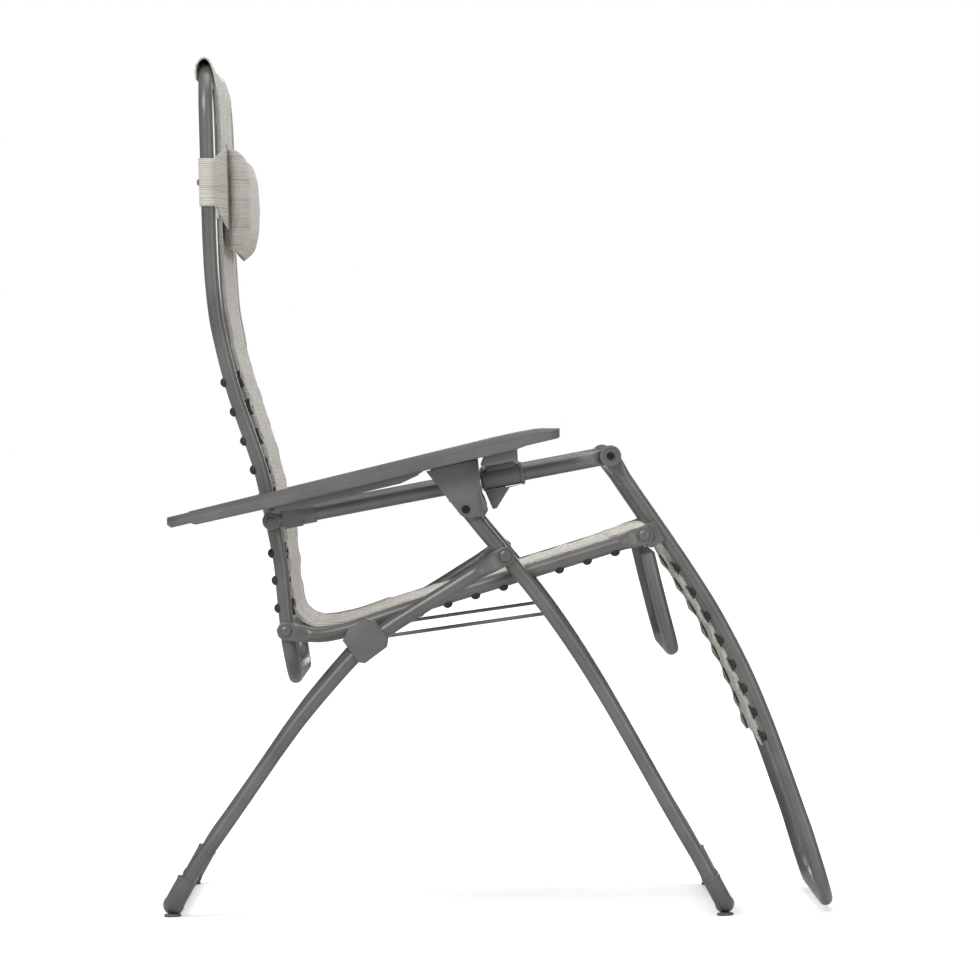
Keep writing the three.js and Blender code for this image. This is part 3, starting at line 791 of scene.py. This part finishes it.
def rivet_builder(node, head_r, head_height, inner_head=False, flange=0.0):
    """A pin with a domed outer head, as long as its CAD node."""

    def build(bm):
        lo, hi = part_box(node)
        pin = 4 * MM
        rim = hi.y - head_height
        start = [(0.0, lo.y), (pin, lo.y)]
        if inner_head:
            start = [*reversed(arc(8 * MM, lo.y + 3 * MM, -1, 3 * MM)), (pin, lo.y + 3 * MM)]
        head = arc(head_r, rim + flange, 1, head_height - flange)
        steps = [*start, (pin, rim), (head_r - 0.4 * MM, rim), (head_r, rim + 0.3 * MM), *head]
        lathe(bm, flat(centre(node)), steps)

    return build


def front_cap(bm):
    lo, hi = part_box("arm_front_cap_left")
    r = hi.z - arm_front.z
    rim = rounded_disc(r, lo.y, hi.y, 2.2 * MM)
    dish = [
        (r - 3.4 * MM, hi.y), (r - 4.2 * MM, hi.y - 0.9 * MM), (7.2 * MM, hi.y - 0.9 * MM),
        (6.6 * MM, hi.y - 0.2 * MM), (4.6 * MM, hi.y - 0.2 * MM),
    ]
    lathe(bm, arm_front, [(4.6 * MM, lo.y), *rim, *dish], sides=56, closed=True)


def front_bolt(bm):
    lo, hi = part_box("arm_front_bolt_left")
    top = hi.y
    steps = [
        (0.0, lo.y), (4 * MM, lo.y), (4 * MM, top - 2.2 * MM), (5.2 * MM, top - 2.2 * MM),
        (5.2 * MM, top - 0.7 * MM), (4.7 * MM, top - 0.1 * MM), (3.4 * MM, top),
        (3.1 * MM, top), (3.0 * MM, top - 1.6 * MM), (0.0, top - 1.9 * MM),
    ]
    lathe(bm, arm_front, steps, hexes=(7, 8))


def bracket_screw(bm):
    lo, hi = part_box("bracket_screw_left")
    top = hi.y
    steps = [
        (0.0, lo.y), (5.4 * MM, lo.y), (5.4 * MM, top - 1.0 * MM), (4.6 * MM, top - 0.2 * MM),
        (3.0 * MM, top), (2.6 * MM, top), (2.5 * MM, top - 1.4 * MM), (0.0, top - 1.6 * MM),
    ]
    lathe(bm, bracket_pivot, steps, hexes=(5, 6))


def shoe_builder(which, wall):
    """A moulded sleeve round the frame's corner, with a lip at each end and a pad below."""

    def build(bm):
        corner, turn = ring_corner[which]
        straight = (turn[0] - turn[1]).normalized()
        line = [turn[0] + straight * 9 * MM, turn[0] + straight * 4 * MM, *turn]
        line += [turn[-1] - Y * 5 * MM, turn[-1] - Y * 9 * MM]
        r = LEG_R + wall

        def section(distance, rest):
            near = min(distance, rest)
            edge = max(2 * MM - near, 0) / (2 * MM)
            lip = 1.2 * MM * math.exp(-((near - 2.5 * MM) / (1.8 * MM)) ** 2)
            size = (r + lip) * (1 - 0.16 * edge ** 2)
            return size, size, 0.0, 1.0

        sweep(bm, smooth(line, 2.2 * MM), section)
        pad_y = corner.y - LEG_BEND / 2
        pad = rounded_disc(8 * MM, 0.0, 4 * MM, 1.2 * MM)
        steps = [(0.0, 0.0), *pad, (0.0, 4 * MM)]
        lathe(bm, (corner.x, pad_y, 0), steps, axis=Z, stretch=1.7)

    return build


SLEEVE = (284, 341)
SLEEVE_R = 13.5


def tube_ring(bm, span, outer, inner, lips=()):
    """A sleeve round the arm tube; lips are (place, extra radius)."""
    start, end = span
    edge = min(1.0, (end - start) / 3)
    stations = sorted({start, start + edge / 2, start + edge, end - edge, end - edge / 2, end,
                       *[p + d for p, _ in lips for d in (-2.2, -1.8, 1.8, 2.2)]})
    stations = [s for s in stations if start <= s <= end]
    outside = []
    for s in stations:
        extra = sum(e for p, e in lips if abs(s - p) <= 1.9)
        cut = max(0.0, edge - min(s - start, end - s))
        outside.append(((outer + extra - 0.6 * cut) * MM, s * MM))
    inside = [(inner * MM, end * MM), (inner * MM, start * MM)]
    lathe(bm, arm_rear + Y * seat_y, [*outside, *inside], axis=arm_along, sides=40, closed=True)


def clamp_sleeve(bm):
    tube_ring(bm, SLEEVE, SLEEVE_R, ARM_R / MM + 0.5, lips=((286.5, 0.9), (338.3, 1.6)))
    corners = [(292, 6), (332, 6), (332, 17.2), (292, 17.2)]
    outline = [(p.x, p.z) for p in (arm_point(*c) for c in corners)]
    add_plate(bm, outline, seat_y - 7 * MM, seat_y + 9 * MM, 1.2 * MM)


def grip_plate(bm):
    tube_ring(bm, (280.5, 283), SLEEVE_R + 0.8, ARM_R / MM + 0.5)


def refined_builder(node, width):
    return lambda bm: refined(bm, node, width)


ARMREST_WIDTH = 56 * MM
WALL_SHARE = 0.56
ARMREST_SECTION = [
    (0.90, 0.00), (0.965, 0.025), (1.0, 0.10), (1.0, 0.48), (0.995, WALL_SHARE), (0.95, 0.68),
    (0.86, 0.80), (0.70, 0.90), (0.45, 0.97), (0.2, 0.995),
]


def armrest(bm):
    """A long moulded rest: upright walls, a crowned top, and rounded ends."""
    node = "armrest_left"
    lo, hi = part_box(node)
    middle_y = hi.y - ARMREST_WIDTH / 2
    probe_y = hi.y - 6 * MM
    ends = (lo.x + 2.5 * MM, hi.x - 2.5 * MM)
    stations = sorted({
        *spaced(ends[0], ends[0] + 36 * MM, 12),
        *spaced(ends[1] - 62 * MM, ends[1], 22),
        *spaced(ends[0] + 40 * MM, ends[1] - 64 * MM, 44),
    })
    rings = []
    for x in stations:
        low, high = through(node, (x, probe_y, 0), Z)
        rear = min((x - ends[0]) / (24 * MM), 1)
        front = min((ends[1] - x) / (15 * MM), 1)
        round_off = math.sqrt(max(1 - (1 - rear) ** 2, 0.1))
        round_off *= math.sqrt(max(1 - (1 - front) ** 2, 0.1))
        half = ARMREST_WIDTH / 2 * round_off
        right = [(w * half, low.z + h * (high.z - low.z)) for w, h in ARMREST_SECTION]
        outline = right + [(-w, z) for w, z in reversed(right)]
        rings.append([bm.verts.new((x, middle_y + w, z)) for w, z in outline])
    count = len(rings[0])
    for ring, following in zip(rings, rings[1:]):
        for k in range(count):
            n = (k + 1) % count
            face = bm.faces.new((ring[k], ring[n], following[n], following[k]))
            # The crowned top faces take the darker plastic as painted shade; the walls keep the
            # plain plastic.
            crown = 4 <= k <= count - 6
            face.material_index = 1 if crown else 0
    bm.faces.new(reversed(rings[0]))
    bm.faces.new(rings[-1])
    under = [through(node, (x, middle_y, 0), Z)[0] for x in spaced(-296 * MM, -104 * MM, 9)]
    skin = [through(node, (p.x, probe_y, 0), Z)[0] for p in under]
    outline = [(p.x, p.z) for p in under] + [(p.x, p.z + 4 * MM) for p in reversed(skin)]
    add_plate(bm, outline, middle_y - 18 * MM, middle_y + 16 * MM, 1.6 * MM)
    low_rear, low_front = arm_point(286, 17.5), arm_point(336, 17.5)
    high_front = through(node, (26 * MM, probe_y, 0), Z)[0]
    high_rear = through(node, (-16 * MM, probe_y, 0), Z)[0]
    corners = [low_rear, low_front, high_front + Z * 4 * MM, high_rear + Z * 4 * MM]
    add_plate(bm, [(p.x, p.z) for p in corners], 274 * MM, 340 * MM, 2 * MM)


# ---- Sling ----

SLING_HALF = 238 * MM
ROW = 6 * MM
COLUMNS = 40
SCALLOP = 2.5 * MM
EDGE_BAND = 15 * MM
EDGE_DROP = 1.5 * MM
EDGE_PULL = 3.5 * MM
SAG = 1 * MM
CLOTH = 1.1 * MM

back_laces = spaced(711.5 * MM, 556.5 * MM, 5) + spaced(483 * MM, 409 * MM, 3)
seat_laces = spaced(-106 * MM, 153.7 * MM, 8)
foot_laces = spaced(468 * MM, 240.9 * MM, 8)


def back_and_seat_line():
    back = [middle("back_sling", (0, 0, z), X) for z in spaced(1.1, 0.446, 26)]
    hub = Vector((-0.205, 0, 0.452))
    turn = []
    for angle in spaced(math.radians(203), math.radians(262), 7):
        out = Vector((math.cos(angle), 0, math.sin(angle)))
        turn.append(band_middle("seat_sling", hub, out))
    seat = [middle("seat_sling", (x, 0, 0), Z) for x in spaced(-0.2, 0.150, 14)]
    return [flat(p) for p in back + turn + seat]


def band_middle(node, hub, out):
    """The middle of a thin band, met by a ray from inside its bend."""
    through(node, hub, out)
    first = TREES[node].ray_cast(hub, out)[0]
    second = TREES[node].ray_cast(first + out * 0.2 * MM, out)[0]
    return (first + second) / 2


def foot_line():
    seat = [middle("seat_sling", (x, 0, 0), Z) for x in spaced(0.150, 0.186, 3)]
    over = foot_pivot
    shoulder = [over + Vector(p) * MM for p in ((8, 0, 8.5), (18, 0, 0), (26, 0, -13.5))]
    leg = [middle("foot_sling", (0, 0, z), X) for z in spaced(0.478, 0.226, 12)]
    return [flat(p) for p in seat + shoulder + leg]


def nearest_length(line, travelled, point, tangent):
    """How far along a line the plane across a tube at a point cuts it."""
    best = min(
        range(len(line)),
        key=lambda i: abs((line[i] - point).dot(tangent)) + 0.15 * (line[i] - point).length,
    )
    return travelled[best], line[best]


def cloth_strip(name, line, pulls, half):
    """A sling: rows along a side-view line, edges waved by the laces, with a UV map in metres."""
    travelled = lengths(line)
    bm = bmesh.new()
    layer = bm.loops.layers.uv.new("cloth")
    rows = []
    shares = [math.sin(t * math.pi / 2) for t in spaced(-1, 1, COLUMNS)]
    for i, point in enumerate(line):
        tangent = (line[min(i + 1, len(line) - 1)] - line[max(i - 1, 0)]).normalized()
        front = Vector((-tangent.z, 0, tangent.x))
        s = travelled[i]
        pull = max([math.exp(-((s - p) / (9 * MM)) ** 2) for p in pulls] or [1.0])
        laced = min([abs(s - p) for p in pulls] or [1.0]) < 45 * MM
        width = half - (SCALLOP * (1 - pull) if laced else 2 * MM)
        row = []
        for c in shares:
            edge = max(0.0, 1 - (1 - abs(c)) * width / EDGE_BAND) ** 2
            lift = SAG * (c * c - 0.5)
            lift -= edge * (EDGE_DROP + EDGE_PULL * pull) if laced else 0
            ripple = 0.3 * MM * math.sin(s / (7 * MM) + 3 * c) * abs(c) ** 5 if laced else 0
            row.append(bm.verts.new(point + front * (lift + ripple) + Y * width * c))
        rows.append(row)
    cloth_grid(bm, layer, rows, lambda i, k: (half * shares[k], travelled[i]))
    edges = [[r[k].co.copy() for r in rows] for k in (0, -1)]
    made = object_of(name, bm, SLING_CLOTH, 3.1, recalculate=False)
    thicken(made, CLOTH)
    return made, edges, travelled[-1]


def hem(name, edge):
    bm = bmesh.new()
    sweep(bm, edge, lambda d, r: (2.6 * MM, 1.9 * MM, 0.0, 0.85), sides=10)
    made = object_of(name, bm, STRAP_CLOTH)
    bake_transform(made)
    return made


def lace(name, body, tube, tangent, radius, cloth_edge):
    """A rubber lace: a domed button behind the tube, and a strap round it, widest at the hem."""
    side = math.copysign(1, tube.y)
    inwards = -Y * side
    front = Vector((-tangent.z, 0, tangent.x))
    front = front if front.dot(X + Z) > 0 else -front
    bm = bmesh.new()
    out = (-front - inwards * 0.1).normalized()
    seat = radius - 1.5 * MM
    button = [(0.0, seat), *arc(6.8 * MM, seat, 1, 6.6 * MM)]
    lathe(bm, tube, button, axis=out, sides=20)
    wrap = radius + 1.0 * MM
    ahead = (cloth_edge - tube).dot(front)
    inside = (cloth_edge - tube).dot(inwards)
    reach = math.hypot(ahead, inside)
    leave = math.atan2(inside, ahead) + math.acos(min(wrap / reach, 1.0))
    angles = spaced(math.radians(176), min(leave, math.radians(150)), 9)
    line = [tube + front * wrap * math.cos(a) + inwards * wrap * math.sin(a) for a in angles]
    edge = tube + front * ahead + inwards * inside
    line += [edge - front * 1.6 * MM, edge - front * 2.2 * MM + inwards * 9 * MM]
    path = smooth(line, 2 * MM)
    total = lengths(path)[-1]

    def section(distance, rest):
        t = eased(distance / total * 1.15)
        tip = 0.55 + 0.45 * min(rest / (5 * MM), 1)
        return (3.2 * MM + 8.8 * MM * t) * tip, 0.9 * MM, 0.0, 0.45

    sweep(bm, path, section, sides=16)
    made = object_of(name, bm, RUBBER)
    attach(made, body)
    return made


def tube_at(points, value, axis):
    """Place and direction on a side tube's line, at a height or at an x."""
    for a, b in zip(points, points[1:]):
        if (a[axis] - value) * (b[axis] - value) <= 0:
            share = (value - a[axis]) / (b[axis] - a[axis])
            return a.lerp(b, share), (b - a).normalized()
    return points[-1], (points[-1] - points[-2]).normalized()


def laces_on(stretch, body, points, values, axis, radius, line, travelled):
    """A stretch's laces on both sides. Returns how far along the sling each one holds it."""
    pulls = []
    for number, value in enumerate(values, 1):
        tube, tangent = tube_at(points, value, axis)
        s, at = nearest_length(line, travelled, flat(tube), tangent)
        pulls.append(s)
        for side, sign in (("left", 1), ("right", -1)):
            place = Vector((tube.x, sign * tube.y, tube.z))
            edge = Vector((at.x, sign * (SLING_HALF - 2 * MM), at.z))
            lace(f"{stretch}_lace_{side}_{number}", body, place, tangent, radius, edge)
    return pulls


def sling(name, hem_name, line, pulls, nodes):
    """A sheet with its two hems, laid across the joint it crosses; the frame's sling nodes are
    hidden.
    """
    made, edges, length = cloth_strip(name, line, pulls, SLING_HALF)
    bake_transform(made)
    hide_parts(*nodes)
    hems = [
        hem(f"{hem_name}_{side}", edge)
        for side, edge in zip(("right", "left"), edges)
    ]


def slings(back_points, foot_points):
    line = smooth(back_and_seat_line(), ROW)
    travelled = lengths(line)
    rear, front = back_pivot.x + 50 * MM, foot_pivot.x - 34 * MM
    seat_points = tube_line("seat_tube_left", seat_y, rear, front, 14, X)
    pulls = laces_on("back", "backrest", back_points, back_laces, 2, BACK_R, line, travelled)
    pulls += laces_on("seat", "seat", seat_points, seat_laces, 0, SEAT_R, line, travelled)
    sling("back_and_seat_sling", "back_and_seat_hem", line, pulls,
          ("back_sling", "seat_sling"))
    line = smooth(foot_line(), ROW)
    travelled = lengths(line)
    pulls = laces_on("foot", "footrest", foot_points, foot_laces, 2, BACK_R, line, travelled)
    sling("footrest_sling", "footrest_hem", line, pulls,
          ("foot_sling",))


# ---- Hood ----

HOOD_HALF = 236 * MM
# Side-view lines of the hood about the top rail's centre, at its right end and at its left end.
HOOD_TOP = [(-12, -16), (-13, -5), (-10.5, 6), (-2, 13.2), (5, 9), (11, -5)]
HOOD_RIGHT = [*HOOD_TOP, (14.5, -22), (16, -48), (15.5, -75)]
HOOD_LEFT = [*HOOD_TOP, (14.5, -16), (16, -28), (15.5, -39)]
HOOD_ROWS = 34
HOOD_COLUMNS = 44


def point_along(line, share):
    """The point at a share of a line's length."""
    travelled = lengths(line)
    wanted = share * travelled[-1]
    for i in range(len(line) - 1):
        if travelled[i + 1] >= wanted - 1e-9:
            part = (wanted - travelled[i]) / (travelled[i + 1] - travelled[i])
            return line[i].lerp(line[i + 1], part)
    return line[-1]


def hood():
    top = corner_of("back_frame", 0, BACK_R, top=True)
    right = smooth([top + Vector((x, 0, z)) * MM for x, z in HOOD_RIGHT], 4 * MM)
    left = smooth([top + Vector((x, 0, z)) * MM for x, z in HOOD_LEFT], 4 * MM)
    bm = bmesh.new()
    layer = bm.loops.layers.uv.new("cloth")
    rows = []
    for i in range(HOOD_ROWS):
        share = i / (HOOD_ROWS - 1)
        near, far = point_along(right, share), point_along(left, share)
        row = []
        for c in spaced(-1, 1, HOOD_COLUMNS):
            crease = 0.9 * MM * math.sin(9 * c + 4 * share) * (1 - c * c) * share
            place = near.lerp(far, (c + 1) / 2) + X * crease
            row.append(bm.verts.new(place + Y * HOOD_HALF * c))
        rows.append(row)
    length = lengths(right)[-1]
    area = HOOD_HALF * (length + lengths(left)[-1])

    def uv_at(i, k):
        across = HOOD_HALF * (2 * k / (HOOD_COLUMNS - 1) - 1)
        return across, length * i / (HOOD_ROWS - 1)

    cloth_grid(bm, layer, rows, uv_at)
    borders = [[r[k].co.copy() for r in rows] for k in (0, -1)]
    borders.append([v.co.copy() for v in rows[-1]])
    made = object_of("hood_over_top_rail", bm, SLING_CLOTH, 3.1, recalculate=False)
    thicken(made, 1.3 * MM)
    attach(made, "backrest")
    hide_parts("top_hood")
    for name, border in zip(("hood_hem_right", "hood_hem_left", "hood_hem_front"), borders):
        bm = bmesh.new()
        sweep(bm, smooth(border, 5 * MM), round_section(1.3 * MM), sides=8)
        trim = object_of(name, bm, STRAP_CLOTH)
        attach(trim, "backrest")


# ---- Headrest ----

PILLOW_SHRINK = 4 * MM
PILLOW_CAP = 7 * MM
VOXEL = 5.5 * MM


def apply_modifiers(made):
    graph = bpy.context.evaluated_depsgraph_get()
    mesh = bpy.data.meshes.new_from_object(made.evaluated_get(graph))
    made.modifiers.clear()
    made.data = mesh


def inflate(made, pressure, cap):
    """Blows a closed mesh up as cloth, and keeps each point within a cap of where it began."""
    scene = bpy.context.scene
    start = np.array([v.co for v in made.data.vertices])
    cloth = made.modifiers.new("inflate", "CLOTH")
    cloth.settings.use_pressure = True
    cloth.settings.uniform_pressure_force = pressure
    cloth.settings.effector_weights.gravity = 0
    cloth.settings.quality = 4
    for number in range(1, 21):
        scene.frame_set(number)
    apply_modifiers(made)
    scene.frame_set(1)
    moved = np.array([v.co for v in made.data.vertices]) - start
    size = np.linalg.norm(moved, axis=1, keepdims=True)
    moved *= np.minimum(1, cap / np.maximum(size, 1e-9))
    made.data.vertices.foreach_set("co", (start + moved).astype(np.float32).ravel())


def pillow():
    lo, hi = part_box("headrest_pillow")
    bm = bmesh.new()
    bm.from_mesh(frame["nodes"]["headrest_pillow"].data)
    bmesh.ops.remove_doubles(bm, verts=bm.verts, dist=0.01 * MM)
    middle_place = (lo + hi) / 2
    for v in bm.verts:
        away = v.co - middle_place
        for axis in range(3):
            half = (hi[axis] - lo[axis]) / 2
            v.co[axis] = middle_place[axis] + away[axis] * (half - PILLOW_SHRINK) / half
    made = object_of("pillow", bm, PILLOW_CLOTH, 3.1)
    remesh = made.modifiers.new("remesh", "REMESH")
    remesh.mode = "VOXEL"
    remesh.voxel_size = VOXEL
    apply_modifiers(made)
    end = hi.y - PILLOW_SHRINK
    for v in made.data.vertices:
        reach = min(max((abs(v.co.y) - (end - 45 * MM)) / (45 * MM), 0), 1)
        depth = 1 - 0.28 * reach ** 2
        v.co.x = lo.x + (v.co.x - lo.x) * depth
        v.co.z = middle_place.z + (v.co.z - middle_place.z) * (1 - 0.06 * reach ** 2)
    inflate(made, 4, PILLOW_CAP)
    fine = made.modifiers.new("fine", "SUBSURF")
    fine.levels = fine.render_levels = 1
    apply_modifiers(made)
    made.data.polygons.foreach_set("use_smooth", [True] * len(made.data.polygons))
    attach(made, "headrest")
    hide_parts("headrest_pillow")


STRAP_LOW, STRAP_HIGH = 944 * MM, 1008 * MM
STRAP_WIDE = (914 * MM, 1028 * MM)


def strap_parts(points):
    """Where the strap runs: round the tube, then out to the pillow's end seam."""
    low, high = STRAP_LOW, STRAP_HIGH
    z_middle = (low + high) / 2
    tube, tangent = tube_at(points, z_middle, 2)
    lo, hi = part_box("headrest_pillow")
    seam = Vector((lo.x + 6 * MM, hi.y - 4 * MM, z_middle))
    wrap = BACK_R + 1.6 * MM
    angles = spaced(math.radians(-60), math.radians(-351), 26)
    ring = [tube + X * wrap * math.cos(a) + Y * wrap * math.sin(a) for a in angles]
    return tube, tangent, seam, ring


def strap(bm, points):
    tangent, seam, ring = strap_parts(points)[1:]
    lean = tangent / tangent.z
    last = ring[-1]
    path = [*ring, *[last.lerp(seam, t) for t in spaced(0.12, 1, 8)]]
    travelled = lengths(path)
    leave = travelled[len(ring) - 1]
    layer = bm.loops.layers.uv.new("cloth")
    rows = []
    for s, p in zip(travelled, path):
        t = max(0.0, (s - leave) / (travelled[-1] - leave))
        spread = t ** 0.8
        low = STRAP_LOW + (STRAP_WIDE[0] - STRAP_LOW) * spread
        high = STRAP_HIGH + (STRAP_WIDE[1] - STRAP_HIGH) * spread
        rows.append([bm.verts.new(flat(p, p.y) + lean * (z - p.z)) for z in spaced(low, high, 16)])
    cloth_grid(bm, layer, rows, lambda i, k: (travelled[i], k * 4 * MM))


def knob(bm, points):
    tube = strap_parts(points)[0]
    start = BACK_R + 1 * MM
    steps = [(0.0, start), (4.5 * MM, start), *arc(4.5 * MM, start + 1.6 * MM, 1, 2.4 * MM)]
    lathe(bm, tube, steps, axis=-X, sides=24)


def headrest(points):
    pillow()
    for side in ("left", "right"):
        bm = bmesh.new()
        strap(bm, points)
        if side == "right":
            turn_over(bm)
        made = object_of(f"pillow_strap_{side}", bm, STRAP_CLOTH, 3.1, recalculate=False)
        thicken(made, 1.4 * MM)
        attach(made, "headrest")
        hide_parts(f"headrest_strap_{side}")
        bm = bmesh.new()
        knob(bm, points)
        seam = strap_parts(points)[2]
        line = [seam + Vector((-1.5, 1, 52)) * MM, seam + Vector((0, 1, 5)) * MM,
                seam + Vector((2, 1, -56)) * MM, seam + Vector((4.5, 1, -84)) * MM]
        sweep(bm, smooth(line, 5 * MM), round_section(1.3 * MM), sides=10)
        if side == "right":
            turn_over(bm)
        trim = object_of(f"strap_button_and_piping_{side}", bm, PIPING)
        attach(trim, "headrest")


# ---- Assembly ----


def assemble():
    legs()
    back_points = back_frame()
    foot_points = foot_frames()
    pairs = [
        ("seat_tube", seat_tube, PAINT, "paint"),
        ("arm_tube", arm_tube, PAINT, "paint"),
        ("stay_rod", stay_rod, SATIN, "steel"),
        ("foot_bracket", refined_builder("foot_bracket_left", 1 * MM), PAINT, "paint"),
    ]
    rivets = (
        ("leg_pivot_rivet", 8.5, 4, False), ("back_pivot_rivet", 7.7, 4, True),
        ("arm_rear_rivet", 6.6, 2.6, True), ("foot_pivot_rivet", 8, 4, False),
    )
    for name, head, height, inner in rivets:
        build = rivet_builder(f"{name}_left", head * MM, height * MM, inner, 0.8 * MM)
        pairs.append((name, build, SATIN, "steel"))
    pairs += [
        ("arm_front_cap", front_cap, PLASTIC, "plastic"),
        ("arm_front_bolt", front_bolt, DARK_STEEL, "dark_steel"),
        ("bracket_screw", bracket_screw, DARK_STEEL, "dark_steel"),
        ("front_shoe", shoe_builder("front", 1.8 * MM), PLASTIC, "plastic"),
        ("rear_shoe", shoe_builder("rear", 3 * MM), PLASTIC, "plastic"),
        ("clamp_sleeve", clamp_sleeve, PLASTIC, "plastic"),
        ("grip_plate", grip_plate, STEEL, "steel"),
        ("armrest", armrest, [PLASTIC, SHADED_TOP_PLASTIC], "plastic", 0.45),
    ]
    moulded = (("leg_bracket", 1.8), ("rear_guide", 2.5), ("leg_clip", 5), ("lock_lever", 2))
    for name, width in moulded:
        pairs.append((name, refined_builder(f"{name}_left", width * MM), PLASTIC, "plastic"))
    for pair in pairs:
        fitted_pair(*pair)
    slings(back_points, foot_points)
    hood()
    headrest(back_points)


make_camera()
make_studio()
assemble()
